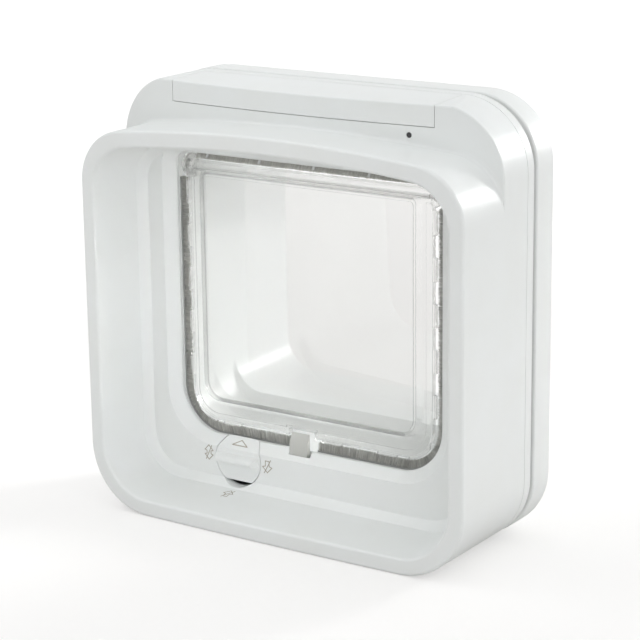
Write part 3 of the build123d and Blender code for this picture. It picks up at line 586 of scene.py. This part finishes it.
world = bpy.data.worlds.new("studio")
scene.world = world
world.use_nodes = True
wnt = world.node_tree
wnt.nodes.clear()
wout = wnt.nodes.new("ShaderNodeOutputWorld")
wlight = wnt.nodes.new("ShaderNodeBackground")
wlight.inputs["Color"].default_value = (0.985, 0.995, 1.0, 1)
wco = wnt.nodes.new("ShaderNodeTexCoord")
wsep = wnt.nodes.new("ShaderNodeSeparateXYZ")
wnt.links.new(wco.outputs["Generated"], wsep.inputs[0])
wnt.links.new(span(wnt, wsep.outputs["Z"], LIGHT["world"], LIGHT["zenith"], 0.0, 1.0), wlight.inputs["Strength"])
wsee = wnt.nodes.new("ShaderNodeBackground")
wsee.inputs["Color"].default_value = (1, 1, 1, 1)
wsee.inputs["Strength"].default_value = 1.0
lp = wnt.nodes.new("ShaderNodeLightPath")
wmix = wnt.nodes.new("ShaderNodeMixShader")
wnt.links.new(lp.outputs["Is Camera Ray"], wmix.inputs[0])
wnt.links.new(wlight.outputs[0], wmix.inputs[1])
wnt.links.new(wsee.outputs[0], wmix.inputs[2])
wnt.links.new(wmix.outputs[0], wout.inputs[0])


def softbox(name, at, aim, w, h, power, colour=(1, 1, 1)):
    l = bpy.data.lights.new(name, "AREA")
    l.shape = "RECTANGLE"
    l.size = w
    l.size_y = h
    l.energy = power
    l.color = colour
    o = bpy.data.objects.new(name, l)
    o.visible_camera = False
    scene.collection.objects.link(o)
    d = (Vector(aim) - Vector(at)).normalized()
    o.matrix_world = Matrix.Translation(Vector(at)) @ d.to_track_quat("-Z", "Y").to_matrix().to_4x4()
    return o


softbox("top_box", (0.0, 0.05, 1.40), (0, 0, 0), 1.4, 1.4, LIGHT["top"])
softbox("right_box", (1.30, 0.15, 0.30), (0, 0, 0), 0.9, 0.9, LIGHT["right"])
softbox("left_box", (-0.60, -0.50, 0.20), (0, -0.05, 0), 0.5, 0.5, LIGHT["left"])
softbox("back_box", (0.64, 1.28, 0.72), (0, 0, 0), 1.0, 1.0, LIGHT["back"])
softbox("edge_box", (-0.81, -0.39, 1.20), (0, -0.05, 0.09), 0.9, 0.10, LIGHT["edge"])
softbox("low_box", (0.55, -0.42, -0.075), (0.10, -0.03, -0.06), 0.9, 0.05, LIGHT["low"])
inner = softbox("inner_box", (0.62, -0.42, 0.03), (-0.094, -0.046, 0.0), 0.08, 0.16, LIGHT["inner"])
inner.data.spread = math.radians(16)
far = softbox("tunnel_box", (0.34, 0.62, 0.20), (-0.055, 0.025, -0.040), 0.22, 0.22, LIGHT["tunnel"])
far.data.spread = math.radians(34)
sill = softbox("sill_box", (0.02, -0.95, 0.62), (0.0, 0.02, -0.062), 0.12, 0.10, LIGHT["sill"])
sill.data.spread = math.radians(10)

# -------------------------------------------------------------------- camera
az, el, roll = (math.radians(a) for a in (34.06, 15.13, -0.72))
r = Vector((math.cos(az), math.sin(az), 0.0))
b = Vector((math.sin(az) * math.cos(el), -math.cos(az) * math.cos(el), math.sin(el)))
u = b.cross(r)
rr = r * math.cos(roll) + u * math.sin(roll)
uu = u * math.cos(roll) - r * math.sin(roll)
cam = bpy.data.cameras.new("camera")
cam.sensor_width = 36.0
cam.lens = 123.217
cam.clip_start = 0.01
cam.clip_end = 50.0
co = bpy.data.objects.new("camera", cam)
scene.collection.objects.link(co)
m = Matrix.Identity(4)
for k in range(3):
    m[k][0], m[k][1], m[k][2] = rr[k], uu[k], b[k]
m.translation = Vector((0.56014, -0.84478, 0.26338))
co.matrix_world = m
scene.camera = co

scene.view_settings.view_transform = "Standard"
scene.view_settings.look = "None"
